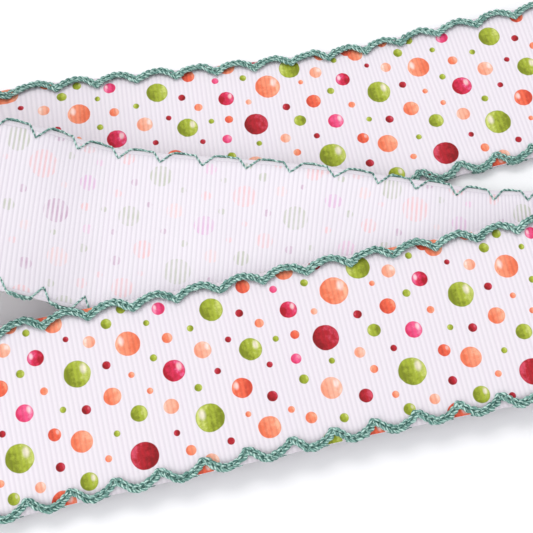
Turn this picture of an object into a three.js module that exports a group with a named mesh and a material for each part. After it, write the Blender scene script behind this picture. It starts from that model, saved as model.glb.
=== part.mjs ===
// A length of printed grosgrain ribbon with a crocheted scallop edging, laid back and forth on a table.
// Millimetres, +Z up. X runs to the right along the folds, Y away from the viewer.

import * as THREE from "three";

// Ribbon
const ribbonWidth = 38;
const ribbonThickness = 1;
const sectionPitch = 4;
const sectionTurn = Math.PI / 24;
const curveStep = 0.25;

// Edging: a braid of chain stitches that swings out over the ribbon's edge once a scallop
const farEdge = { side: 1, pitch: 9.14, firstCusp: 5.3 };
const nearEdge = { side: -1, pitch: 8.72, firstCusp: 7 };
const braidWidth = 1.9;
const braidHeight = 1.2;
const braidGap = 0.3;
const cuspInset = 2.15;
const braidMargin = 1;

// One scallop of the braid's centre line: share of the pitch, and way out from the inner cusp
const scallopPoints = [
  { share: 0.0, out: 0.0 },
  { share: 0.1, out: 0.85 },
  { share: 0.24, out: 1.5 },
  { share: 0.4, out: 2 },
  { share: 0.57, out: 2.2 },
  { share: 0.72, out: 1.7 },
  { share: 0.87, out: 0.8 },
];

// The ribbon's centre line as it lies, from the front run's free end to the back run's.
// yaw is the plan direction of the lines across it, roll lifts the far edge, and cup is how far
// both edges bend out towards the printed side.
const frontRun = [
  { x: -97, y: -52.1, z: 0.5, yaw: 106, roll: 0, cup: 0 },
  { x: -84, y: -48.5, z: 0.5, yaw: 106, roll: 0, cup: 0 },
  { x: -65, y: -42.9, z: 3.6, yaw: 107, roll: 4, cup: 0 },
  { x: -45, y: -37.3, z: 6.2, yaw: 109.5, roll: 7, cup: 0 },
  { x: -25, y: -31.7, z: 6.6, yaw: 110, roll: 5, cup: 0 },
  { x: -5, y: -26, z: 6.6, yaw: 108.5, roll: 3, cup: 0 },
  { x: 15, y: -20.2, z: 6.4, yaw: 106, roll: 3, cup: 0 },
  { x: 35, y: -14.9, z: 6.4, yaw: 106, roll: 3, cup: 0 },
  { x: 55, y: -9.7, z: 7, yaw: 106, roll: 3, cup: 0 },
  { x: 74, y: -4.4, z: 8.6, yaw: 104, roll: 2, cup: 0 },
];
const middleRun = [
  { x: 70, y: 1.7, z: 2.9, yaw: 94, roll: 1, cup: 0 },
  { x: 50, y: 0.2, z: 3.2, yaw: 91, roll: 1, cup: 0 },
  { x: 30, y: 1.1, z: 4.6, yaw: 89, roll: 2, cup: 0 },
  { x: 10, y: 3.1, z: 4.9, yaw: 86.5, roll: 2, cup: 0 },
  { x: -12, y: 4, z: 5.2, yaw: 86, roll: 1, cup: 0 },
  { x: -33, y: 4, z: 6.2, yaw: 87, roll: 1, cup: -0.5 },
  { x: -53, y: 4, z: 11.5, yaw: 89, roll: 0, cup: -4.5 },
  { x: -69, y: 4.2, z: 15.5, yaw: 93, roll: 0, cup: -5 },
];
const backRun = [
  { x: -70, y: 16.8, z: 0.5, yaw: 102, roll: 0, cup: 0 },
  { x: -55, y: 22.5, z: 0.5, yaw: 106, roll: 0, cup: 0 },
  { x: -35, y: 26.5, z: 0.5, yaw: 106, roll: 0, cup: 0 },
  { x: -15, y: 30.1, z: 0.5, yaw: 106, roll: 0, cup: 0 },
  { x: 5, y: 33.8, z: 0.7, yaw: 105, roll: 0, cup: 0 },
  { x: 25, y: 38.6, z: 1, yaw: 106, roll: 0, cup: 0 },
  { x: 45, y: 44.8, z: 1.8, yaw: 107.5, roll: 1, cup: 0 },
  { x: 65, y: 50.6, z: 3, yaw: 108, roll: 1, cup: 0 },
  { x: 84, y: 55.4, z: 3.8, yaw: 108, roll: 0, cup: 0 },
  { x: 100, y: 59.1, z: 4, yaw: 107, roll: 0, cup: 0 },
];

// The two soft folds: x and y are the fold's middle, side is +1 at the right and -1 at the left,
// reach is how far it bulges, yaw is its axis and shift is how far the ribbon moves along that axis
const rightFold = { side: 1, x: 94.6, y: 1.2, topZ: 11.2, baseZ: 2.9, reach: 5.8, yaw: 97, shift: 2 };
const leftFold = { side: -1, x: -87.8, y: 11, topZ: 17.4, baseZ: 0.5, reach: 9.6, yaw: 97, shift: 5.4 };
const foldSteps = 8;

// The middle of the whole part's box, which becomes the origin
const middleX = 1.7;
const middleY = 3.3;

const lerp = THREE.MathUtils.lerp;
const degToRad = THREE.MathUtils.degToRad;

// A fold's half turn, from the upper run round to the lower one
function foldRows(fold) {
  const middleZ = (fold.topZ + fold.baseZ) / 2;
  const halfHeight = (fold.topZ - fold.baseZ) / 2;
  const yaw = degToRad(fold.yaw);
  const rows = [];
  for (let step = 0; step <= foldSteps; step += 1) {
    const share = step / foldSteps;
    const angle = Math.PI * share;
    const bulge = fold.side * fold.reach * Math.sin(angle);
    const slide = fold.shift * (share - 0.5);
    rows.push({
      x: fold.x + bulge * Math.sin(yaw) + slide * Math.cos(yaw),
      y: fold.y - bulge * Math.cos(yaw) + slide * Math.sin(yaw),
      z: middleZ + halfHeight * Math.cos(angle),
      yaw: fold.yaw,
      roll: 0,
      cup: 0,
    });
  }
  return rows;
}

// Slopes that never overshoot, so a run that lies flat between two rows stays flat
function steadySlopes(values, knots) {
  const last = values.length - 1;
  const rise = (i) => (values[i + 1] - values[i]) / (knots[i + 1] - knots[i]);
  return values.map((value, i) => {
    if (i === 0) return rise(0);
    if (i === last) return rise(last - 1);
    const before = rise(i - 1);
    const after = rise(i);
    if (before * after <= 0) return 0;
    const stepBefore = knots[i] - knots[i - 1];
    const stepAfter = knots[i + 1] - knots[i];
    const weightBefore = stepBefore + 2 * stepAfter;
    const weightAfter = 2 * stepBefore + stepAfter;
    return (weightBefore + weightAfter) / (weightBefore / before + weightAfter / after);
  });
}

function hermite(a, b, slopeA, slopeB, length, t) {
  const t2 = t * t;
  const t3 = t2 * t;
  return (2 * t3 - 3 * t2 + 1) * a + (t3 - 2 * t2 + t) * length * slopeA
    + (3 * t2 - 2 * t3) * b + (t3 - t2) * length * slopeB;
}

// The centre line in small steps, each with its distance s along the ribbon
function centreLine(rows) {
  const columns = ["x", "y", "z", "yaw", "roll", "cup"];
  const knots = [0];
  for (let i = 1; i < rows.length; i += 1) {
    const a = rows[i - 1];
    const b = rows[i];
    knots.push(knots[i - 1] + Math.hypot(b.x - a.x, b.y - a.y, b.z - a.z));
  }
  const slopes = {};
  for (const name of columns) {
    slopes[name] = steadySlopes(rows.map((row) => row[name]), knots);
  }
  const line = [];
  for (let i = 0; i < rows.length - 1; i += 1) {
    const length = knots[i + 1] - knots[i];
    const steps = Math.ceil(length / curveStep);
    for (let k = i === 0 ? 0 : 1; k <= steps; k += 1) {
      const spot = {};
      for (const name of columns) {
        const slope = slopes[name];
        spot[name] = hermite(rows[i][name], rows[i + 1][name], slope[i], slope[i + 1], length, k / steps);
      }
      const before = line[line.length - 1] ?? spot;
      const move = Math.hypot(spot.x - before.x, spot.y - before.y, spot.z - before.z);
      spot.s = (before.s ?? 0) + move;
      line.push(spot);
    }
  }
  return line;
}

// The line across the ribbon through its centre line at s: where it starts, its direction, the
// printed face's direction there, its cup, and its lean, which is how far it runs along the ribbon
// for each millimetre that it runs across
function crossLine(line, s) {
  let i = 1;
  while (i < line.length - 1 && line[i].s < s) i += 1;
  const a = line[i - 1];
  const b = line[i];
  const share = (s - a.s) / (b.s - a.s);
  const from = line[Math.max(i - 3, 0)];
  const to = line[Math.min(i + 2, line.length - 1)];
  const along = new THREE.Vector3(to.x - from.x, to.y - from.y, to.z - from.z).normalize();
  const yaw = degToRad(lerp(a.yaw, b.yaw, share));
  const roll = degToRad(lerp(a.roll, b.roll, share));
  const level = Math.cos(roll);
  const across = new THREE.Vector3(Math.cos(yaw) * level, Math.sin(yaw) * level, Math.sin(roll));
  const centre = new THREE.Vector3(lerp(a.x, b.x, share), lerp(a.y, b.y, share), lerp(a.z, b.z, share));
  const face = new THREE.Vector3().crossVectors(along, across).normalize();
  const drift = across.dot(along);
  const lean = drift / Math.sqrt(1 - drift * drift);
  return { centre, across, face, lean, cup: lerp(a.cup, b.cup, share) };
}

// A point on a cross line, v across the ribbon from its middle and h out from its middle surface
function crossPoint(cross, v, h) {
  const reach = v * Math.hypot(1, cross.lean);
  const rise = h + cross.cup * (2 * v / ribbonWidth) ** 2;
  const point = cross.centre.clone().addScaledVector(cross.across, reach).addScaledVector(cross.face, rise);
  point.z = Math.max(point.z, 0);
  return point;
}

// The point at s along the ribbon, v across it and h out from it
function ribbonPoint(line, s, v, h) {
  const nearby = crossLine(line, s - v * crossLine(line, s).lean);
  return crossPoint(crossLine(line, s - v * nearby.lean), v, h);
}

// A closed solid through sections, each with a lower and an upper row of points
function sectionSolid(sections) {
  const positions = [];
  const quad = (a, b, c, d) => {
    for (const point of [a, b, c, a, c, d]) positions.push(point.x, point.y, point.z);
  };
  const spans = sections[0].lower.length - 1;
  for (let i = 0; i < sections.length - 1; i += 1) {
    const a = sections[i];
    const b = sections[i + 1];
    for (let k = 0; k < spans; k += 1) {
      quad(a.lower[k], a.lower[k + 1], b.lower[k + 1], b.lower[k]);
      quad(a.upper[k + 1], a.upper[k], b.upper[k], b.upper[k + 1]);
    }
    quad(a.lower[spans], a.upper[spans], b.upper[spans], b.lower[spans]);
    quad(a.upper[0], a.lower[0], b.lower[0], b.upper[0]);
  }
  const first = sections[0];
  const last = sections[sections.length - 1];
  for (let k = 0; k < spans; k += 1) {
    quad(first.lower[k], first.upper[k], first.upper[k + 1], first.lower[k + 1]);
    quad(last.lower[k], last.lower[k + 1], last.upper[k + 1], last.upper[k]);
  }
  const geometry = new THREE.BufferGeometry();
  geometry.setAttribute("position", new THREE.Float32BufferAttribute(positions, 3));
  geometry.computeVertexNormals();
  return geometry;
}

// Where the ribbon's sections stand: closer together where it turns
function sectionPlaces(line) {
  const places = [0];
  let used = 0;
  for (let i = 2; i < line.length; i += 1) {
    const before = new THREE.Vector3().subVectors(line[i - 1], line[i - 2]);
    const after = new THREE.Vector3().subVectors(line[i], line[i - 1]);
    const turn = before.angleTo(after);
    used += (line[i].s - line[i - 1].s) / sectionPitch + turn / sectionTurn;
    if (used >= 1) {
      places.push(line[i].s);
      used = 0;
    }
  }
  const end = line[line.length - 1].s;
  if (end - places[places.length - 1] < sectionPitch / 2) places.pop();
  places.push(end);
  return places;
}

function ribbonGeometry(line) {
  const acrossPlaces = [-0.5, -0.25, 0, 0.25, 0.5].map((share) => share * ribbonWidth);
  const row = (cross, h) => acrossPlaces.map((v) => crossPoint(cross, v, h));
  const sections = sectionPlaces(line).map((s) => ({
    lower: row(crossLine(line, s), -ribbonThickness / 2),
    upper: row(crossLine(line, s), ribbonThickness / 2),
  }));
  return sectionSolid(sections);
}

// The braid's centre line along one edge: s along the ribbon and v across it. The far edge's
// scallops run the other way from the near edge's, as when the ribbon is turned end for end.
function braidPath(length, edge) {
  const cuspV = ribbonWidth / 2 - cuspInset;
  const path = [];
  for (let cusp = edge.firstCusp - edge.pitch; cusp < length; cusp += edge.pitch) {
    for (const point of scallopPoints) {
      const share = edge.side > 0 ? point.share : 1 - point.share;
      path.push({ s: cusp + share * edge.pitch, v: edge.side * (cuspV + point.out) });
    }
  }
  path.sort((a, b) => a.s - b.s);
  return path.filter((point) => point.s > braidMargin && point.s < length - braidMargin);
}

function edgingGeometry(line, edge) {
  const path = braidPath(line[line.length - 1].s, edge);
  const low = ribbonThickness / 2 + braidGap;
  const high = low + braidHeight;
  const sections = path.map((point, i) => {
    const before = path[Math.max(i - 1, 0)];
    const after = path[Math.min(i + 1, path.length - 1)];
    const run = Math.hypot(after.s - before.s, after.v - before.v);
    const shiftS = (after.v - before.v) / run * braidWidth / 2;
    const shiftV = (after.s - before.s) / run * braidWidth / 2;
    const row = (h) => [
      ribbonPoint(line, point.s + shiftS, point.v - shiftV, h),
      ribbonPoint(line, point.s - shiftS, point.v + shiftV, h),
    ];
    return { lower: row(low), upper: row(high) };
  });
  return sectionSolid(sections);
}

function finish(color, roughness) {
  return new THREE.MeshStandardMaterial({ color, roughness, metalness: 0 });
}

const rows = [...frontRun, ...foldRows(rightFold), ...middleRun, ...foldRows(leftFold), ...backRun];
const line = centreLine(rows);

const pieces = [
  { name: "ribbon", geometry: ribbonGeometry(line), material: finish(0xf3ecf3, 0.7) },
  { name: "edging_far", geometry: edgingGeometry(line, farEdge), material: finish(0x6fa898, 0.6) },
  { name: "edging_near", geometry: edgingGeometry(line, nearEdge), material: finish(0x6fa898, 0.6) },
];

const ribbon = new THREE.Group();
for (const piece of pieces) {
  const mesh = new THREE.Mesh(piece.geometry, piece.material);
  mesh.name = piece.name;
  mesh.position.set(-middleX, -middleY, 0);
  ribbon.add(mesh);
}

export default ribbon;
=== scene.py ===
import math

import bpy
import numpy as np
from mathutils import Matrix, Vector


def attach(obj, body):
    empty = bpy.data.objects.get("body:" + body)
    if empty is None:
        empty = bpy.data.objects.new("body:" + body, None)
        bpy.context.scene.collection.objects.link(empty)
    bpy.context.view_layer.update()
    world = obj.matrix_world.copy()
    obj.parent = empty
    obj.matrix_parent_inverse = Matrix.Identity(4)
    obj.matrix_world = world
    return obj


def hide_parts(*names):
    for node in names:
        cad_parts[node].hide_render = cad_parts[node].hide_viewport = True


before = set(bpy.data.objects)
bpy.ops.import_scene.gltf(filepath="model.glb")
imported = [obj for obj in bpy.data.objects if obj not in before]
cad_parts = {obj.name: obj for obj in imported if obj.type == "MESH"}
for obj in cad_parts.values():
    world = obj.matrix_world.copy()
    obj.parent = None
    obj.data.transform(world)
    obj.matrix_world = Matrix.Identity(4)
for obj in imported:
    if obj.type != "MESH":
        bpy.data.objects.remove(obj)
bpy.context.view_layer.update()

MM = 0.001

# Ribbon, in millimetres. Its lower side rests on the surface where the solid ribbon's does.
WIDTH = 38.0
CLOTH_THICKNESS = 0.4
CLOTH_MIDDLE = 0.15
RIB_PITCH = 1.0
RIB_STEPS = 4
RIB_HEIGHT = 0.045
SELVAGE = 1.3
SELVAGE_BLEND = 0.4
CROSS_SPANS = 14

# Edging: chain stitches along a scalloped line, with the needle thread on the reverse. inset is how
# far in from the rim the inner cusps lie, swing scales the way out from them, and tip is where the
# needle thread turns on the reverse. pitch and first_cusp come from a fit to the photograph.
FAR_EDGE = {"side": 1, "pitch": 9.14, "first_cusp": 5.3, "inset": 2.15, "swing": 1, "tip": -0.1}
NEAR_EDGE = {"side": -1, "pitch": 8.72, "first_cusp": 7.2, "inset": 2.5, "swing": 1.15, "tip": -0.65}
STITCHES_PER_SCALLOP = 8
STITCH_RADIUS = 0.33
STITCH_HALF_WIDTH = 0.64
STITCH_OVERLAP = 1.5
STITCH_POINTS = 16
STITCH_SIDES = 7
# How high a stitch stands and how thick it is, by the share of the way along it
STITCH_LIFT = [(-0.3, 0), (0, 0.25), (0.3, 0.75), (0.65, 0.8), (1, 0.35), (1.25, 0.1)]
STITCH_LIFT_HEIGHT = 0.7
STITCH_TAPER = [(-0.3, 0.75), (0.3, 1.08), (0.8, 1.05), (1.3, 0.8)]
# Each stitch is a little out of place
SHAKE = 0.07
SHAKE_SEED = 7
# How far the first and last stitch stay from the cut ends
STITCH_START_MARGIN = 0.3
STITCH_END_MARGIN = 2.5
THREAD_RADIUS = 0.2
THREAD_SIDES = 6
THREAD_MARGIN = 0.2
# The needle thread's twist shows as beads along it
BEAD_LENGTH = 1.1
BEAD_SWELL = 0.25
# The third strand of each chain stitch, which lies under its loop, and the ends' taper
CORE_RADIUS = 0.36
END_TAPER = 0.6
# How much further along its yarn each stitch starts, so that no two show the same filaments
ROW_OFFSET = 3.7
# The braid hangs lower where it swings out past the cloth's rim
RIM_START = 0.7
RIM_SPAN = 1.6
RIM_DROOP = 0.55

# One scallop of the braid: share of the pitch, and way out from the inner cusp
SCALLOP = [
    (0, 0), (0.1, 0.85), (0.24, 1.5), (0.4, 2), (0.57, 2.2), (0.72, 1.7), (0.87, 0.8), (1, 0),
]
SCALLOP_STEPS = 24
# The needle thread on the reverse: share of the pitch, share of the way from the tip to the rim,
# and depth behind the cloth
NEEDLE_LINE = [
    (0, 0, 0.12), (0.17, 0.9, 0.12), (0.34, 0.92, 0.06), (0.42, 1.02, 0), (0.62, 1.02, 0),
    (0.73, 0.92, 0.12), (1, 0, 0.12),
]
NEEDLE_PAST_RIM = 0.35
NEEDLE_STEPS = 40

# Rows of the centre line: x, y, z, yaw of the line across, roll that lifts the far edge, and cup,
# which is how far both edges bend out towards the printed side. y and yaw come from a least-squares
# fit to the photograph and were changed in places.
FRONT_RUN = [
    (-97, -52.1, 0.5, 106, 0, 0), (-84, -48.5, 0.5, 106, 0, 0), (-65, -42.9, 3.6, 107, 4, 0),
    (-45, -37.3, 6.2, 109.5, 7, 0), (-25, -31.7, 6.6, 110, 5, 0), (-5, -26, 6.6, 108.5, 3, 0),
    (15, -20.2, 6.4, 106, 3, 0), (35, -14.9, 6.4, 106, 3, 0), (55, -9.7, 7, 106, 3, 0),
    (74, -4.4, 8.6, 104, 2, 0),
]
MIDDLE_RUN = [
    (70, 1.7, 2.9, 94, 1, 0), (50, 0.2, 3.2, 91, 1, 0), (30, 1.1, 4.6, 89, 2, 0),
    (10, 3.1, 4.9, 86.5, 2, 0), (-12, 4, 5.2, 86, 1, 0), (-33, 4, 6.2, 87, 1, -0.5),
    (-53, 4, 11.5, 89, 0, -4.5), (-69, 4.2, 15.5, 93, 0, -5),
]
BACK_RUN = [
    (-70, 16.8, 0.5, 102, 0, 0), (-55, 22.5, 0.5, 106, 0, 0), (-35, 26.5, 0.5, 106, 0, 0),
    (-15, 30.1, 0.5, 106, 0, 0), (5, 33.8, 0.7, 105, 0, 0), (25, 38.6, 1, 106, 0, 0),
    (45, 44.8, 1.8, 107.5, 1, 0), (65, 50.6, 3, 108, 1, 0), (84, 55.4, 3.8, 108, 0, 0),
    (100, 59.1, 4, 107, 0, 0),
]
# The two soft folds, as in the solid ribbon
RIGHT_FOLD = dict(side=1, x=94.6, y=1.2, top_z=11.2, base_z=2.9, reach=5.8, yaw=97, shift=2)
LEFT_FOLD = dict(side=-1, x=-87.8, y=11, top_z=17.4, base_z=0.5, reach=9.6, yaw=97, shift=5.4)
FOLD_STEPS = 8
MIDDLE = Vector((1.7, 3.3, 0))
CURVE_STEP = 0.25
# A direction along the line is taken over this many places behind and ahead
STEPS_BEHIND = 3
STEPS_AHEAD = 2

# The print: dots in one repeat, as (s, v, diameter) by colour. s runs along the ribbon from where
# the repeat starts, and v across it from its middle towards the far edge. Most places and diameters
# were found in the photograph by a script, not charted by hand, and the start comes from a fit.
REPEAT = 80.0
REPEAT_START = 61.3
PRINT = {
    "green": [
        (2, -15.5, 3.6), (3.5, 6, 5.5), (9, -7.5, 1.3), (11, 15, 2.2), (14, -4.5, 3.4),
        (14.5, 17.5, 2), (19, 6, 1.5), (19, 13.5, 1.3), (26.5, -2, 1.6), (27.5, 10.5, 1.4),
        (27.5, -8.5, 5.8), (32.5, 13.5, 4.9), (38.5, 3.5, 4.7), (44, 4.5, 1.3), (47.5, -5, 2),
        (50, -18.5, 4), (52.5, 15, 1.6), (53.5, -14.5, 1.9), (54, -2.5, 1.3), (64, 2, 2.8),
        (64, 16, 5), (67, -15.5, 2.5), (69.5, -8, 5.8), (72.5, 8.5, 1.7), (75, 16.5, 1.5),
        (79.5, -0.5, 1.3),
    ],
    "coral": [
        (0.5, 17.2, 3.8), (2, -7.5, 4.4), (6.5, -12, 1.4), (8, 19, 3), (9.5, 0, 3.6), (14, 3.5, 1.3),
        (14.5, 10, 5.1), (17, -0.5, 1.3), (22.5, -14, 2.1), (22.5, 9.5, 2.2), (35, -9.5, 1.2),
        (38.5, -13, 4.5), (41.5, 8.5, 1.9), (43.5, -10.5, 1.4), (47, -13, 2.4), (58, 12, 5.9),
        (49, 18.5, 4), (62, -6, 1.7), (65, -12, 1.5), (66, 12, 1.2), (72, 18.5, 3), (76.5, 4, 1.6),
    ],
    "orange": [
        (24, -18.5, 4), (35, -4, 4.2), (40, 17, 3), (48, 4.5, 1.9), (59, -18.5, 4),
        (68, 6.5, 3.4), (76.5, -18.5, 5), (77, -5, 2.6), (78.5, 18.5, 3),
    ],
    "peach": [
        (7, 12, 2.5), (20.5, -4.5, 3.1), (26, -17, 3), (29, 5.5, 3.6),
        (52.5, -8, 4.5), (53, 8.5, 1.4), (60, -2, 2.3), (70, 14, 2.9), (72.5, -14.5, 2.2),
    ],
    "red": [
        (2.5, 13.5, 1.2), (4, -1.5, 1.9), (8, -17, 1.5), (9.5, 6.5, 1.7), (13.5, -13, 5.6),
        (20.5, -10, 1.3), (30.5, -14, 1.5), (31, 0.5, 1.4), (34.5, 6.5, 1.3), (38, 11.5, 1.7),
        (40.5, -7, 2.2), (41.5, -0.5, 1.3), (54, 2.5, 5.4), (55.5, 18.5, 2.5), (59, -11, 2.9),
        (61.5, 6, 1.8), (67, -2.5, 1.4), (77, -11.5, 1.9),
    ],
    "rose": [
        (22.5, 2.5, 4.5), (48, 10, 3.6), (76, 11, 3.4),
    ],
    "pink": [
        (22, 16, 2.7), (46, 15, 1.6), (47, -0.5, 2.2), (72, 0.5, 3.6),
    ],
}
# Each colour's deep side, its body and its pale side
INKS = {
    "green": ((0.20, 0.24, 0.012), (0.36, 0.43, 0.035), (0.58, 0.64, 0.16)),
    "coral": ((0.80, 0.17, 0.08), (0.89, 0.27, 0.15), (0.94, 0.45, 0.29)),
    "orange": ((0.62, 0.07, 0.035), (0.82, 0.13, 0.065), (0.91, 0.29, 0.17)),
    "peach": ((0.88, 0.32, 0.20), (0.91, 0.43, 0.30), (0.94, 0.62, 0.50)),
    "red": ((0.24, 0.005, 0.008), (0.43, 0.012, 0.022), (0.66, 0.07, 0.12)),
    "rose": ((0.38, 0.005, 0.015), (0.66, 0.025, 0.08), (0.86, 0.14, 0.32)),
    "pink": ((0.68, 0.03, 0.12), (0.82, 0.08, 0.22), (0.92, 0.26, 0.42)),
}
# Each colour as it shows through on the reverse
THROUGH = {
    "green": (0.46, 0.50, 0.37),
    "coral": (0.86, 0.52, 0.54),
    "orange": (0.86, 0.49, 0.50),
    "peach": (0.86, 0.62, 0.62),
    "red": (0.53, 0.33, 0.47),
    "rose": (0.72, 0.41, 0.65),
    "pink": (0.80, 0.50, 0.68),
}
# How far past its radius a dot's uneven rim may reach
DOT_RIM_SHARE = 1.12
DOT_RIM_EXTRA = 0.1
DOT_RIM_WOBBLE = 0.1
# The dots' soft wash, and the pale glint that some of them have
WASH_SCALE = 0.7
WASH_STRENGTH = 2.6
GLINT = (1.0, 0.86, 0.84)
GLINT_U = 0.5
GLINT_V = 0.32
GLINT_STRENGTH = 0.62
# Cloth and yarn colours
CLOTH = (0.77, 0.72, 0.78)
CLOTH_WARM = (0.79, 0.73, 0.77)
# The reverse's colour: paler than the face, partly its own ground and partly painted light for the
# brighter-lit middle run
CLOTH_BACK_WITH_PAINTED_LIGHT = (0.82, 0.775, 0.825)
# Painted shade in the rib grooves, its colour drifting between these two from rib to rib
GROOVE_SHADE = (0.48, 0.40, 0.50)
GROOVE_SHADE_GREY = (0.45, 0.45, 0.48)
# The yarn: painted shade for its crevices, its own colour, and painted highlights on its filaments
YARN_SHADE = (0.006, 0.085, 0.07)
YARN = (0.15, 0.32, 0.275)
YARN_HIGHLIGHT = (0.52, 0.73, 0.66)
# Painted shade that darkens the print in the rib grooves
INK_SHADE = (0.05, 0.02, 0.02)
WARP_PITCH = 0.28
WARP_HEIGHT = 0.012
YARN_HEIGHT = 0.05
# How strongly painted shade shows in the grooves of the face, of the print and of the reverse
FACE_GROOVE_SHADE = 0.25
DOT_GROOVE_SHADE = 0.16
BACK_GROOVE_SHADE = 0.33
SELVAGE_LINE = 0.3
INK_NAMES = list(PRINT)

# The studio
FLOOR = (0.92, 0.915, 0.93)
FLOOR_HALF = 3.0
SKY = (0.97, 0.98, 1.0)
SKY_STRENGTH = 0.82

# Camera: how far the photograph looks down, how far it is turned, how near it is in millimetres,
# and its focal length in pixels of a picture this wide. A fit gave all of them but the first.
CAMERA_ELEVATION = 66.0
CAMERA_ROLL = 2.8
CAMERA_DISTANCE = 259.3
CAMERA_FOCAL = 1206
PICTURE_WIDTH = 533


# The ribbon's path


def fold_rows(fold):
    """Rows round a soft fold: half an ellipse that leans sideways as it goes down."""
    rows = []
    turn = math.radians(fold["yaw"])
    middle_z = (fold["top_z"] + fold["base_z"]) / 2
    half_height = (fold["top_z"] - fold["base_z"]) / 2
    for step in range(FOLD_STEPS + 1):
        share = step / FOLD_STEPS
        angle = math.pi * share
        bulge = fold["side"] * fold["reach"] * math.sin(angle)
        slide = fold["shift"] * (share - 0.5)
        x = fold["x"] + bulge * math.sin(turn) + slide * math.cos(turn)
        y = fold["y"] - bulge * math.cos(turn) + slide * math.sin(turn)
        rows.append((x, y, middle_z + half_height * math.cos(angle), fold["yaw"], 0, 0))
    return rows


def steady_slopes(values, stations):
    """Slopes at the rows that never overshoot them."""
    steps = np.diff(stations)
    rates = np.diff(values) / steps
    slopes = np.zeros(len(values))
    slopes[0] = rates[0]
    slopes[-1] = rates[-1]
    for i in range(1, len(values) - 1):
        if rates[i - 1] * rates[i] > 0:
            before = steps[i - 1] + 2 * steps[i]
            after = 2 * steps[i - 1] + steps[i]
            slopes[i] = (before + after) / (before / rates[i - 1] + after / rates[i])
    return slopes


def curve_between(t, gap, start, end, start_slope, end_slope):
    """The place at share t of the gap between two rows."""
    return (
        (2 * t**3 - 3 * t**2 + 1) * start
        + (t**3 - 2 * t**2 + t) * gap * start_slope
        + (3 * t**2 - 2 * t**3) * end
        + (t**3 - t**2) * gap * end_slope
    )


def smooth_rows(rows, step):
    """Places along a curve through the rows, about one step apart."""
    rows = np.array(rows, float)
    gaps = np.linalg.norm(np.diff(rows[:, :3], axis=0), axis=1)
    stations = np.concatenate([[0], np.cumsum(gaps)])
    slopes = np.stack([steady_slopes(column, stations) for column in rows.T], -1)
    pieces = [rows[:1]]
    for i, gap in enumerate(gaps):
        count = math.ceil(gap / step)
        t = (np.arange(1, count + 1) / count)[:, None]
        pieces.append(curve_between(t, gap, rows[i], rows[i + 1], slopes[i], slopes[i + 1]))
    return np.vstack(pieces)


def unit(vectors):
    return vectors / np.linalg.norm(vectors, axis=-1, keepdims=True)


class Strip:
    """The ribbon's middle sheet: lines across it, straight or bent by the cup."""

    def __init__(self, rows):
        places = smooth_rows(rows, CURVE_STEP)
        self.centres = places[:, :3]
        self.yaw = np.radians(places[:, 3])
        self.roll = np.radians(places[:, 4])
        self.cup = places[:, 5]
        gaps = np.linalg.norm(np.diff(self.centres, axis=0), axis=1)
        self.stations = np.concatenate([[0], np.cumsum(gaps)])
        index = np.arange(len(places))
        behind = np.maximum(index - STEPS_BEHIND, 0)
        ahead = np.minimum(index + STEPS_AHEAD, len(places) - 1)
        self.along = unit(self.centres[ahead] - self.centres[behind])
        self.length = self.stations[-1]

    def at(self, s, column):
        if column.ndim == 1:
            return np.interp(s, self.stations, column)
        return np.stack([np.interp(s, self.stations, part) for part in column.T], -1)

    def cross_line(self, s):
        """The centre, the way across, the way out of the printed face, and the lean at s."""
        along = unit(self.at(s, self.along))
        past_end = s - np.clip(s, 0, self.length)
        centre = self.at(s, self.centres) + past_end[..., None] * along
        yaw = self.at(s, self.yaw)
        roll = self.at(s, self.roll)
        across = np.stack([np.cos(yaw) * np.cos(roll), np.sin(yaw) * np.cos(roll), np.sin(roll)], -1)
        out = unit(np.cross(along, across))
        drift = (along * across).sum(-1)
        return centre, across, out, drift / np.sqrt(1 - drift**2)

    def point(self, s, v, h):
        """The place in the row frame, in metres, of flat places s, v at height h over the middle."""
        s, v, h = np.broadcast_arrays(*[np.asarray(x, float) for x in (s, v, h)])
        lean = self.cross_line(s)[3]
        lean = self.cross_line(s - v * lean)[3]
        centre, across, out, lean = self.cross_line(s - v * lean)
        reach = v * np.sqrt(1 + lean**2)
        bend = self.at(s - v * lean, self.cup) * (2 * v / WIDTH) ** 2
        place = centre + reach[..., None] * across + (h + bend)[..., None] * out
        return (place - np.array(MIDDLE)) * MM


STRIP = Strip(
    FRONT_RUN + fold_rows(RIGHT_FOLD) + MIDDLE_RUN + fold_rows(LEFT_FOLD) + BACK_RUN
)


# Meshes


def new_object(name, vertices, faces, uv_name, uvs, node):
    """A smooth mesh with one UV map, which rides on the part and stands for a node."""
    mesh = bpy.data.meshes.new(name)
    mesh.from_pydata(vertices.reshape(-1, 3), [], faces)
    mesh.polygons.foreach_set("use_smooth", np.ones(len(mesh.polygons), bool))
    layer = mesh.uv_layers.new(name=uv_name)
    layer.data.foreach_set("uv", uvs.astype(np.float32).ravel())
    mesh.validate()
    piece = bpy.data.objects.new(name, mesh)
    bpy.context.scene.collection.objects.link(piece)
    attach(piece, "root")
    if node:
        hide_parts(node)
    return piece


def ribbon_columns():
    count = round(STRIP.length * RIB_STEPS / RIB_PITCH)
    return np.linspace(0, STRIP.length, count + 1)


def rib_relief(s, v):
    """How far a rib stands out of the cloth's flat surface at s, v."""
    phase = (s / RIB_PITCH) % 1
    rise = 1 - 2 * np.abs(np.cos(math.pi * phase)) ** 3
    smooth_edge = np.clip((WIDTH / 2 - SELVAGE + SELVAGE_BLEND - np.abs(v)) / SELVAGE_BLEND, 0, 1)
    return RIB_HEIGHT * rise * smooth_edge


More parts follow.
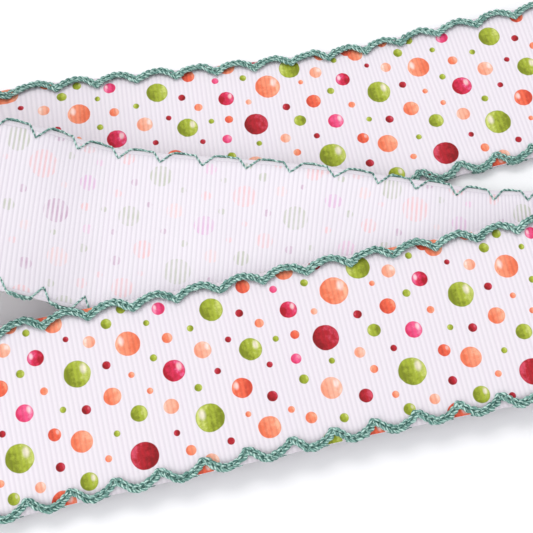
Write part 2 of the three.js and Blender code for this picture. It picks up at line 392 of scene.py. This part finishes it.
def make_ribbon():
    """One closed sheet: its ribs stand out of both sides."""
    columns = ribbon_columns()
    lines = np.linspace(-WIDTH / 2, WIDTH / 2, CROSS_SPANS + 1)
    s = columns[:, None]
    half = CLOTH_THICKNESS / 2
    top = STRIP.point(s, lines[None], CLOTH_MIDDLE + half + rib_relief(s, lines[None]))
    back_lines = lines[::-1]
    back = STRIP.point(s, back_lines[None], CLOTH_MIDDLE - half - rib_relief(s, back_lines[None]))
    vertices = np.concatenate([top, back], axis=1)
    around = vertices.shape[1]
    ring_v = np.concatenate([lines, back_lines])
    i = np.arange(len(columns) - 1)[:, None]
    j = np.arange(around)[None]
    k = (j + 1) % around
    sides = np.stack([i * around + j, (i + 1) * around + j, (i + 1) * around + k, i * around + k], -1)
    side_uv = np.stack([
        np.stack(np.broadcast_arrays(columns[i], ring_v[j]), -1),
        np.stack(np.broadcast_arrays(columns[i + 1], ring_v[j]), -1),
        np.stack(np.broadcast_arrays(columns[i + 1], ring_v[k]), -1),
        np.stack(np.broadcast_arrays(columns[i], ring_v[k]), -1),
    ], -2)
    span = np.arange(CROSS_SPANS)
    start = np.stack([span, span + 1, around - 2 - span, around - 1 - span], -1)
    end = (start + (len(columns) - 1) * around)[:, ::-1]
    start_uv = np.stack([np.full(start.shape, columns[0]), ring_v[start]], -1)
    end_uv = np.stack([np.full(end.shape, columns[-1]), ring_v[end % around]], -1)
    faces = np.concatenate([sides.reshape(-1, 4), start, end])
    uvs = np.concatenate([side_uv.reshape(-1, 2), start_uv.reshape(-1, 2), end_uv.reshape(-1, 2)])
    return vertices, faces, uvs, columns, ring_v


def dots_on(faces, uvs):
    """For each face, the two dots of the print that may touch it: s, v, radius and colour."""
    corners = uvs.reshape(len(faces), 4, 2)
    low = corners.min(axis=1)
    high = corners.max(axis=1)
    order = np.argsort(low[:, 0], kind="stable")
    starts = low[order, 0]
    found = np.zeros((len(faces), 2, 4), np.float32)
    used = np.zeros(len(faces), int)
    widest = (high[:, 0] - low[:, 0]).max()
    for ink, name in enumerate(INK_NAMES):
        for s, v, diameter in PRINT[name]:
            radius = diameter / 2
            reach = radius * DOT_RIM_SHARE + DOT_RIM_EXTRA
            for repeat in range(math.ceil(STRIP.length / REPEAT) + 1):
                centre = s + REPEAT * (repeat - 1) + REPEAT_START
                near = slice(*np.searchsorted(starts, [centre - reach - widest, centre + reach]))
                here = order[near]
                gap_s = np.clip(centre, low[here, 0], high[here, 0]) - centre
                gap_v = np.clip(v, low[here, 1], high[here, 1]) - v
                touched = here[np.hypot(gap_s, gap_v) < reach]
                touched = touched[used[touched] < 2]
                found[touched, used[touched]] = (centre, v, radius, (ink + 0.5) / len(INK_NAMES))
                used[touched] += 1
    return found


def write_dots(mesh, found):
    for slot, letter in enumerate("ab"):
        place = mesh.attributes.new("dot_" + letter, "FLOAT_VECTOR", "CORNER")
        place.data.foreach_set("vector", np.repeat(found[:, slot, :3], 4, axis=0).ravel())
        ink = mesh.attributes.new("ink_" + letter, "FLOAT", "CORNER")
        ink.data.foreach_set("value", np.repeat(found[:, slot, 3], 4))


def scallop_line(edge):
    """The edging's path round the scallops as flat places, with the length along it."""
    share, out = np.array(SCALLOP, float).T
    if edge["side"] < 0:
        share = 1 - share[::-1]
        out = out[::-1]
    fine = np.linspace(0, 1, SCALLOP_STEPS, endpoint=False)
    slopes = steady_slopes(out, share)
    index = np.clip(np.searchsorted(share, fine, side="right") - 1, 0, len(share) - 2)
    gap = share[index + 1] - share[index]
    t = (fine - share[index]) / gap
    one = curve_between(t, gap, out[index], out[index + 1], slopes[index], slopes[index + 1])
    scallops = math.ceil(STRIP.length / edge["pitch"]) + 2
    s = edge["first_cusp"] + edge["pitch"] * (np.arange(scallops)[:, None] - 1 + fine)
    v = edge["side"] * (WIDTH / 2 - edge["inset"] + edge["swing"] * np.broadcast_to(one, s.shape))
    return s.ravel(), v.ravel()


def stitch_shape():
    """One chain stitch: a drop-shaped loop, low at its tip and its head, high between them."""
    turn = 2 * math.pi * np.arange(STITCH_POINTS) / STITCH_POINTS
    ahead = -np.cos(turn)
    along = 0.475 + STITCH_OVERLAP / 2 * ahead
    fullness = 0.62 + 0.38 * ahead
    across = STITCH_HALF_WIDTH * np.sin(turn) * fullness / 0.82
    lift = np.interp(along, *np.array(STITCH_LIFT, float).T)
    return along, across, lift


def sweep(places, outs, radius, sides, closed):
    """Tubes round rows of places: vertices, faces and UVs (length in mm, share of the way round)."""
    rows, count = places.shape[:2]
    if closed:
        tangent = unit(np.roll(places, -1, axis=1) - np.roll(places, 1, axis=1))
    else:
        tangent = unit(np.gradient(places, axis=1))
    side = unit(np.cross(tangent, outs))
    up = np.cross(side, tangent)
    angle = 2 * math.pi * np.arange(sides) / sides
    ring = (
        np.cos(angle)[:, None] * side[:, :, None] + np.sin(angle)[:, None] * up[:, :, None]
    )
    radius = np.broadcast_to(radius, places.shape[:2])
    vertices = places[:, :, None] + radius[:, :, None, None] * MM * ring
    spans = count if closed else count - 1
    row = np.arange(rows)[:, None, None]
    i = np.arange(spans)[None, :, None]
    j = np.arange(sides)[None, None, :]
    i_next = (i + 1) % count
    j_next = (j + 1) % sides
    base = row * count
    faces = np.stack(np.broadcast_arrays(
        (base + i) * sides + j, (base + i_next) * sides + j,
        (base + i_next) * sides + j_next, (base + i) * sides + j_next,
    ), -1)
    gaps = np.linalg.norm(np.roll(places, -1, axis=1) - places, axis=-1) / MM
    starts = ROW_OFFSET * np.arange(rows)[:, None]
    run = starts + np.concatenate([np.zeros((rows, 1)), np.cumsum(gaps, axis=1)], axis=1)
    here = run[row, i]
    ahead = run[row, i + 1]
    low = j / sides
    high = (j + 1) / sides
    uvs = np.stack([
        np.stack(np.broadcast_arrays(here, low), -1), np.stack(np.broadcast_arrays(ahead, low), -1),
        np.stack(np.broadcast_arrays(ahead, high), -1), np.stack(np.broadcast_arrays(here, high), -1),
    ], -2)
    return vertices.reshape(-1, 3), faces.reshape(-1, 4), uvs.reshape(-1, 2)


def length_along(s, v):
    return np.concatenate([[0], np.cumsum(np.hypot(np.diff(s), np.diff(v)))])


def rim_droop(v):
    """How much lower the braid hangs at v."""
    past_rim = np.clip(np.abs(v) - (WIDTH / 2 - RIM_START), 0, RIM_SPAN) / RIM_SPAN
    return RIM_DROOP * past_rim


def stitch_seats(edge):
    """Where each chain stitch starts, which way it points, and how far apart they are."""
    s_line, v_line = scallop_line(edge)
    run = length_along(s_line, v_line)
    pitch = run[SCALLOP_STEPS] / STITCHES_PER_SCALLOP
    tips = np.arange(0, run[-1] - 2 * pitch, pitch)

    def at(u):
        return np.stack([np.interp(u, run, s_line), np.interp(u, run, v_line)], -1)

    forward = unit(at(tips + 1.1 * pitch) - at(tips - 0.1 * pitch))
    origin = at(tips + 0.5 * pitch) - 0.5 * pitch * forward
    last = STRIP.length - STITCH_END_MARGIN
    inside = (origin[:, 0] > STITCH_START_MARGIN) & (origin[:, 0] < last)
    return origin[inside], forward[inside], pitch


def make_stitches(edge):
    """All chain stitches of one edging."""
    origin, forward, pitch = stitch_seats(edge)
    aside = np.stack([-forward[:, 1], forward[:, 0]], -1)
    along, across, lift = stitch_shape()
    rng = np.random.default_rng(SHAKE_SEED)
    shake = rng.normal(0, SHAKE, (len(origin), 3))
    flat = (
        origin[:, None]
        + forward[:, None] * (along[None, :, None] * pitch + shake[:, None, :1])
        + aside[:, None] * (across[None, :, None] * (1 + shake[:, None, 1:2]) + shake[:, None, 2:])
    )
    s, v = flat[..., 0], flat[..., 1]
    seat = CLOTH_MIDDLE + CLOTH_THICKNESS / 2 + STITCH_RADIUS
    height = seat + STITCH_LIFT_HEIGHT * lift[None] - rim_droop(v)
    places = STRIP.point(s, v, height)
    outs = STRIP.point(s, v, height + 1) - places
    taper = np.interp(along, *np.array(STITCH_TAPER, float).T)
    radius = STITCH_RADIUS * (1 + 0.5 * shake[:, :1]) * taper
    return sweep(places, unit(outs), radius, STITCH_SIDES, True)


def end_taper(s):
    """The share of its full thickness that a thread has near the ribbon's cut ends."""
    from_end = np.minimum(s - s[0], s[-1] - s)
    return np.clip(from_end / END_TAPER, 0.1, 1)


def thread_tube(s, v, h, radius):
    """One thread through flat places, thinner at the ribbon's cut ends."""
    places = STRIP.point(s, v, h)[None]
    outs = STRIP.point(s, v, h + 1)[None] - places
    return sweep(places, unit(outs), radius * end_taper(s), THREAD_SIDES, False)


def make_core(edge):
    """The strand that runs under the loops, seen only in the gaps between them; its yarn is mostly painted
    shade, so that the gaps read dark.
    """
    s, v = scallop_line(edge)
    inside = (s > END_TAPER) & (s < STRIP.length - END_TAPER)
    s, v = s[inside], v[inside]
    height = CLOTH_MIDDLE + CLOTH_THICKNESS / 2 + CORE_RADIUS - rim_droop(v)
    return thread_tube(s, v, height, CORE_RADIUS)


def needle_places(edge):
    """The needle thread's path on the reverse, as s, v and height."""
    share, way, deep = np.array(NEEDLE_LINE, float).T
    if edge["side"] < 0:
        share, way, deep = 1 - share[::-1], way[::-1], deep[::-1]
    fine = np.linspace(0, 1, NEEDLE_STEPS, endpoint=False)
    scallops = math.ceil(STRIP.length / edge["pitch"]) + 2
    s = edge["first_cusp"] + edge["pitch"] * (np.arange(scallops)[:, None] - 1 + fine)
    rim = edge["inset"] + NEEDLE_PAST_RIM
    out = edge["tip"] + (rim - edge["tip"]) * np.interp(fine, share, way)
    v = edge["side"] * (WIDTH / 2 - edge["inset"] + np.broadcast_to(out, s.shape))
    back = CLOTH_MIDDLE - CLOTH_THICKNESS / 2
    h = back - np.broadcast_to(np.interp(fine, share, deep), s.shape)
    s, v, h = s.ravel(), v.ravel(), h.ravel()
    inside = (s > THREAD_MARGIN) & (s < STRIP.length - THREAD_MARGIN)
    return s[inside], v[inside], h[inside]


def make_needle_thread(edge):
    """The thread that shows on the reverse, with its twist as beads."""
    s, v, h = needle_places(edge)
    beads = 1 + BEAD_SWELL * np.sin(2 * math.pi * length_along(s, v) / BEAD_LENGTH)
    return thread_tube(s, v, h, THREAD_RADIUS * beads)


# Materials


class Shader:
    """Short calls for building a node tree."""

    def __init__(self, tree):
        self.tree = tree

    def join(self, value, socket):
        if isinstance(value, bpy.types.NodeSocket):
            self.tree.links.new(value, socket)
        else:
            socket.default_value = value

    def node(self, kind, inputs=None, **settings):
        made = self.tree.nodes.new(kind)
        for name, value in settings.items():
            setattr(made, name, value)
        for name, value in (inputs or {}).items():
            self.join(value, made.inputs[name])
        return made

    def math(self, operation, a, b=0.0, c=0.0, clamp=False):
        made = self.node("ShaderNodeMath", {0: a, 1: b, 2: c}, operation=operation, use_clamp=clamp)
        return made.outputs[0]

    def smooth(self, value, low, high, start=0.0, end=1.0):
        made = self.node(
            "ShaderNodeMapRange",
            {"Value": value, "From Min": low, "From Max": high, "To Min": start, "To Max": end},
            interpolation_type="SMOOTHSTEP",
        )
        return made.outputs["Result"]

    def mix(self, factor, a, b, blend="MIX"):
        made = self.node("ShaderNodeMix", data_type="RGBA", blend_type=blend)
        self.join(factor, made.inputs[0])
        self.join(a, made.inputs[6])
        self.join(b, made.inputs[7])
        return made.outputs[2]

    def split(self, vector):
        return self.node("ShaderNodeSeparateXYZ", {0: vector}).outputs

    def combine(self, x, y, z=0.0):
        return self.node("ShaderNodeCombineXYZ", {0: x, 1: y, 2: z}).outputs[0]

    def noise(self, vector, scale, detail=2.0, roughness=0.5):
        made = self.node(
            "ShaderNodeTexNoise",
            {"Vector": vector, "Scale": scale, "Detail": detail, "Roughness": roughness},
        )
        return made.outputs["Fac"]

    def length(self, a, b):
        """The length of a flat vector."""
        return self.math("SQRT", self.math("ADD", self.math("MULTIPLY", a, a), self.math("MULTIPLY", b, b)))

    def steps(self, value, colours):
        """One flat colour for each equal part of 0 to 1."""
        ramp = self.node("ShaderNodeValToRGB", {0: value})
        ramp.color_ramp.interpolation = "CONSTANT"
        elements = ramp.color_ramp.elements
        elements[0].color = (*colours[0], 1)
        elements[1].position = 1 / len(colours)
        elements[1].color = (*colours[1], 1)
        for i, colour in enumerate(colours[2:], 2):
            elements.new(i / len(colours)).color = (*colour, 1)
        return ramp.outputs["Color"]


def new_material(name, **constants):
    material = bpy.data.materials.new(name)
    material.use_nodes = True
    shader = Shader(material.node_tree)
    surface = material.node_tree.nodes["Principled BSDF"]
    for label, value in constants.items():
        surface.inputs[label.replace("_", " ")].default_value = value
    return material, shader, surface


def make_dot_group():
    """One printed dot: how much it covers a place, its colour there, and its colour seen through."""
    tree = bpy.data.node_groups.new("print_dot", "ShaderNodeTree")
    for name, kind in (("S", "Float"), ("V", "Float"), ("Dot", "Vector"), ("Ink", "Float")):
        tree.interface.new_socket(name, in_out="INPUT", socket_type="NodeSocket" + kind)
    for name, kind in (("Cover", "Float"), ("Colour", "Color"), ("Through", "Color")):
        tree.interface.new_socket(name, in_out="OUTPUT", socket_type="NodeSocket" + kind)
    g = Shader(tree)
    given = g.node("NodeGroupInput").outputs
    out = g.node("NodeGroupOutput")
    centre = g.split(given["Dot"])
    radius = g.math("MAXIMUM", centre[2], 0.01)
    dx = g.math("SUBTRACT", given["S"], centre[0])
    dy = g.math("SUBTRACT", given["V"], centre[1])
    u = g.math("DIVIDE", dx, radius)
    w = g.math("DIVIDE", dy, radius)
    own = g.combine(g.math("ADD", dx, g.math("MULTIPLY", centre[1], 7.3)), dy, given["Ink"])
    wash = g.noise(own, WASH_SCALE, 4.0, 0.68)
    uneven = g.math("SUBTRACT", g.noise(own, 0.45, 1.0), 0.5)
    far = g.math("ADD", g.length(u, w), g.math("MULTIPLY", uneven, DOT_RIM_WOBBLE))
    inward = g.math("MULTIPLY", g.math("SUBTRACT", 1.0, far), radius)
    g.join(g.smooth(inward, -0.07, 0.09), out.inputs["Cover"])
    chance = g.math("FRACT", g.math("ADD", g.math("MULTIPLY", centre[1], 0.37), given["Ink"]))
    from_left = g.math("GREATER_THAN", chance, 0.8)
    flip = g.math("SUBTRACT", 1.0, g.math("MULTIPLY", from_left, 2.0))
    lit_u = g.math("MULTIPLY", u, flip)
    tone = g.math("ADD", g.math("MULTIPLY", lit_u, 0.85), g.math("MULTIPLY", w, 0.25))
    tone = g.math("ADD", tone, g.math("MULTIPLY", g.math("SUBTRACT", wash, 0.5), WASH_STRENGTH))
    deep, body, pale = [
        g.steps(given["Ink"], [INKS[name][part] for name in INK_NAMES]) for part in range(3)
    ]
    colour = g.mix(g.smooth(tone, -0.7, 0.1), deep, body)
    colour = g.mix(g.smooth(tone, 0.15, 0.9), colour, pale)
    rim = g.smooth(inward, 0.32, 0.05)
    colour = g.mix(g.math("MULTIPLY", rim, 0.45), colour, g.mix(0.45, deep, body))
    glint_u = g.math("MULTIPLY", g.math("SUBTRACT", lit_u, GLINT_U), 2.6)
    glint_w = g.math("MULTIPLY", g.math("SUBTRACT", w, GLINT_V), 1.7)
    by_size = g.smooth(radius, 0.8, 1.6, 0.0, GLINT_STRENGTH)
    glint = g.math("MULTIPLY", g.smooth(g.length(glint_u, glint_w), 0.9, 0.25), by_size)
    some = g.math("GREATER_THAN", g.math("FRACT", g.math("MULTIPLY", chance, 5.3)), 0.45)
    glint = g.math("MULTIPLY", glint, some)
    colour = g.mix(glint, colour, (*GLINT, 1))
    g.join(colour, out.inputs["Colour"])
    g.join(g.steps(given["Ink"], [THROUGH[name] for name in INK_NAMES]), out.inputs["Through"])
    return tree


def cloth_places(m):
    """The cloth's own coordinates in millimetres, and how far into a groove a place is."""
    uv = m.node("ShaderNodeUVMap", uv_map="cloth").outputs[0]
    s, v, _ = m.split(uv)
    phase = m.math("FRACT", m.math("DIVIDE", s, RIB_PITCH))
    from_crest = m.math("ABSOLUTE", m.math("SUBTRACT", phase, 0.5))
    inset = m.math("SUBTRACT", WIDTH / 2, m.math("ABSOLUTE", v))
    return uv, s, v, from_crest, inset


def weave_bump(m, uv, v):
    """Warp ends that cross the ribs, and the yarn's own unevenness."""
    warp = m.math("SINE", m.math("MULTIPLY", v, 2 * math.pi / WARP_PITCH))
    drawn_out = m.node("ShaderNodeVectorMath", {0: uv, 1: (0.35, 3.0, 1)}, operation="MULTIPLY")
    shaken = m.noise(drawn_out.outputs[0], 1.0, 3.0)
    warp = m.math("MULTIPLY", warp, WARP_HEIGHT)
    height = m.math("ADD", warp, m.math("MULTIPLY", shaken, YARN_HEIGHT))
    return m.node("ShaderNodeBump", {"Height": height, "Strength": 0.35, "Distance": 0.001}).outputs[0]


def print_on(m, s, v, dot_tree):
    """Both nearby dots' groups."""
    groups = []
    for letter in "ab":
        place = m.node("ShaderNodeAttribute", attribute_name="dot_" + letter).outputs["Vector"]
        ink = m.node("ShaderNodeAttribute", attribute_name="ink_" + letter).outputs["Fac"]
        group = m.node("ShaderNodeGroup", node_tree=dot_tree)
        for name, value in (("S", s), ("V", v), ("Dot", place), ("Ink", ink)):
            m.join(value, group.inputs[name])
        groups.append(group.outputs)
    return groups


def painted_groove_shade(m, s):
    """Painted shade for the grooves between ribs, its colour drifting between mauve and grey from rib to
    rib.
    """
    rib = m.combine(m.math("FLOOR", m.math("DIVIDE", s, RIB_PITCH)), 0.0)
    return m.mix(m.smooth(m.noise(rib, 0.7, 2.0), 0.35, 0.65), (*GROOVE_SHADE, 1), (*GROOVE_SHADE_GREY, 1))


def new_cloth(name):
    return new_material(name, Roughness=0.8, Sheen_Weight=0.04, Specular_IOR_Level=0.3)


def make_face_cloth(dot_tree):
    """The printed side."""
    material, m, surface = new_cloth("ribbon_face")
    uv, s, v, from_crest, inset = cloth_places(m)
    tint = m.mix(m.noise(uv, 0.09, 2.0), (*CLOTH, 1), (*CLOTH_WARM, 1))
    groove = m.smooth(from_crest, 0.1, 0.46)
    # Painted shade: the cloth darkens towards the middle of each groove
    colour = m.mix(m.math("MULTIPLY", groove, FACE_GROOVE_SHADE), tint, painted_groove_shade(m, s))
    for dot in print_on(m, s, v, dot_tree):
        # Painted shade: the print darkens towards the middle of each groove too
        shaded = m.mix(m.math("MULTIPLY", groove, DOT_GROOVE_SHADE), dot["Colour"], (*INK_SHADE, 1))
        colour = m.mix(dot["Cover"], colour, shaded)
    m.join(colour, surface.inputs["Base Color"])
    m.join(weave_bump(m, uv, v), surface.inputs["Normal"])
    return material


def make_back_cloth(dot_tree):
    """The reverse: the print shows only as faint bars in the grooves."""
    material, m, surface = new_cloth("ribbon_back")
    uv, s, v, from_crest, inset = cloth_places(m)
    # Partly painted light: the reverse is painted paler than the face
    tint = m.mix(m.noise(uv, 0.09, 2.0), (*CLOTH_BACK_WITH_PAINTED_LIGHT, 1), (*CLOTH, 1))
    ribbed = m.smooth(inset, SELVAGE - 0.45, SELVAGE - 0.3)
    groove = m.math("MULTIPLY", m.smooth(from_crest, 0.16, 0.48), ribbed)
    # Painted shade: the reverse darkens towards the middle of each groove, but not on the selvage
    colour = m.mix(m.math("MULTIPLY", groove, BACK_GROOVE_SHADE), tint, painted_groove_shade(m, s))
    bar = m.math("MULTIPLY", m.smooth(from_crest, 0.14, 0.36), ribbed)
    uneven = m.smooth(m.noise(uv, 0.35, 3.0), 0.3, 0.7, 0.35, 0.72)
    for dot in print_on(m, s, v, dot_tree):
        shown = m.math("MULTIPLY", dot["Cover"], bar)
        colour = m.mix(m.math("MULTIPLY", shown, uneven), colour, dot["Through"])
    # A thin darker line along the selvage's inner border, in the colour of the painted groove shade
    from_line = m.math("ABSOLUTE", m.math("SUBTRACT", inset, SELVAGE - SELVAGE_BLEND))
    line = m.smooth(from_line, 0.13, 0.03)
    colour = m.mix(m.math("MULTIPLY", line, SELVAGE_LINE), colour, (*GROOVE_SHADE, 1))
    m.join(colour, surface.inputs["Base Color"])
    m.join(weave_bump(m, uv, v), surface.inputs["Normal"])
    return material


def make_yarn(name, strands, twist, thickness, shade_to, highlight_from):
    """Filament yarn: painted shade in its crevices where tone is low, its own colour higher up, and painted
    highlights on its filaments where tone is highest; the last two arguments set where the own colour is
    reached and where the highlights begin.
    """
    material, m, surface = new_material(name, Roughness=0.5, Sheen_Weight=0.15)
    uv = m.node("ShaderNodeUVMap", uv_map="yarn").outputs[0]
    run, around, _ = m.split(uv)
    spiral = m.math("ADD", m.math("MULTIPLY", around, strands), m.math("MULTIPLY", run, twist))
    strand = m.math("MULTIPLY", m.math("PINGPONG", spiral, 0.5), 2.0)
    where = m.combine(m.math("MULTIPLY", run, 0.9), m.math("MULTIPLY", spiral, 0.8))
    uneven = m.math("MULTIPLY", m.math("SUBTRACT", m.noise(where, 1.3, 3.0, 0.6), 0.25), 1.8)
    tone = m.math("ADD", m.math("MULTIPLY", strand, 0.45), uneven)
    # Painted shade where tone is low and painted highlights where it is high, spread by the strands and by
    # noise
    colour = m.mix(m.smooth(tone, 0.25, shade_to), (*YARN_SHADE, 1), (*YARN, 1))
    colour = m.mix(m.smooth(tone, highlight_from, highlight_from + 0.28), colour, (*YARN_HIGHLIGHT, 1))
    m.join(colour, surface.inputs["Base Color"])
    bump = m.node("ShaderNodeBump", {"Height": tone, "Strength": 0.8, "Distance": thickness * MM})
    m.join(bump.outputs[0], surface.inputs["Normal"])
    return material


def make_floor():
    """A plain pale floor, far wider than the part."""
    mesh = bpy.data.meshes.new("floor")
    signs = ((-1, -1), (1, -1), (1, 1), (-1, 1))
    corners = [(x * FLOOR_HALF, y * FLOOR_HALF, 0) for x, y in signs]
    mesh.from_pydata(corners, [], [(0, 1, 2, 3)])
    floor = bpy.data.objects.new("floor", mesh)
    bpy.context.scene.collection.objects.link(floor)
    material, _, surface = new_material("floor_white", Roughness=0.6)
    surface.inputs["Base Color"].default_value = (*FLOOR, 1)
    mesh.materials.append(material)
    return floor


def add_light(name, place, size, power, colour):
    """A square soft light that faces the part."""
    data = bpy.data.lights.new(name, "AREA")
    data.size = size
    data.energy = power
    data.color = colour
    light = bpy.data.objects.new(name, data)
    light.location = place
    light.rotation_mode = "QUATERNION"
    light.rotation_quaternion = (-Vector(place)).to_track_quat("-Z", "Y")
    bpy.context.scene.collection.objects.link(light)


def add_lights():
    """An even sky, a window behind to the left and a weaker fill in front."""
    world = bpy.data.worlds.new("studio")
    world.use_nodes = True
    background = world.node_tree.nodes["Background"]
    background.inputs["Color"].default_value = (*SKY, 1)
    background.inputs["Strength"].default_value = SKY_STRENGTH
    bpy.context.scene.world = world
    add_light("window", (-0.3, 0.42, 1.0), 0.5, 3.9, (1.0, 0.99, 0.98))
    add_light("fill", (-0.5, -0.6, 0.7), 0.8, 3.2, (1.0, 1.0, 1.0))


def add_camera():
    """The photograph's view: from the near side, steeply down, turned a little."""
    data = bpy.data.cameras.new("camera")
    data.sensor_width = 36
    data.lens = data.sensor_width * CAMERA_FOCAL / PICTURE_WIDTH
    data.clip_start = 0.01
    camera = bpy.data.objects.new("camera", data)
    down = math.radians(CAMERA_ELEVATION)
    turn = math.radians(CAMERA_ROLL)
    forward = Vector((0, math.cos(down), -math.sin(down)))
    level = Vector((1, 0, 0))
    up = level.cross(forward)
    right = math.cos(turn) * level + math.sin(turn) * up
    top = -math.sin(turn) * level + math.cos(turn) * up
    place = -MIDDLE - forward * CAMERA_DISTANCE
    axes = Matrix((right, top, -forward)).transposed().to_4x4()
    camera.matrix_world = Matrix.Translation(place * MM) @ axes
    bpy.context.scene.collection.objects.link(camera)
    bpy.context.scene.camera = camera


def dress_ribbon(dot_tree):
    """The cloth, with its printed side and its reverse."""
    vertices, faces, uvs, columns, ring_v = make_ribbon()
    piece = new_object("ribbon_cloth", vertices, faces, "cloth", uvs, "ribbon")
    mesh = piece.data
    write_dots(mesh, dots_on(faces, uvs))
    mesh.materials.append(make_face_cloth(dot_tree))
    mesh.materials.append(make_back_cloth(dot_tree))
    around = len(ring_v)
    side = np.ones(len(faces), int)
    side[: (len(columns) - 1) * around] = np.tile(np.arange(around) > CROSS_SPANS, len(columns) - 1)
    mesh.polygons.foreach_set("material_index", side)
    return piece


def dress_edging(edge, name, node, yarn, core_shade_yarn, thread):
    """One edging: its stitches stand for the node, and its other threads go with them."""
    pieces = []
    for part, make, stands_for, material in (
        ("_stitches", make_stitches, node, yarn),
        ("_core", make_core, None, core_shade_yarn),
        ("_needle_thread", make_needle_thread, None, thread),
    ):
        vertices, faces, uvs = make(edge)
        piece = new_object(name + part, vertices, faces, "yarn", uvs, stands_for)
        piece.data.materials.append(material)
        pieces.append(piece)
    return pieces


bpy.context.scene.view_settings.view_transform = "Standard"
dot_tree = make_dot_group()
ribbon = dress_ribbon(dot_tree)
# All yarns carry painted shade in their crevices and painted highlights on their filaments
yarn = make_yarn("edging_yarn", 3, 1.1, 0.12, 0.72, 0.68)
# The core: its yarn is painted shade over nearly its whole tone range
core_shade_yarn = make_yarn("edging_core", 3, 1.1, 0.06, 1.5, 1.4)
thread = make_yarn("needle_thread", 1, 1 / BEAD_LENGTH, 0.03, 0.8, 0.66)
edging = dress_edging(FAR_EDGE, "far", "edging_far", yarn, core_shade_yarn, thread)
edging += dress_edging(NEAR_EDGE, "near", "edging_near", yarn, core_shade_yarn, thread)
floor = make_floor()
add_lights()
add_camera()
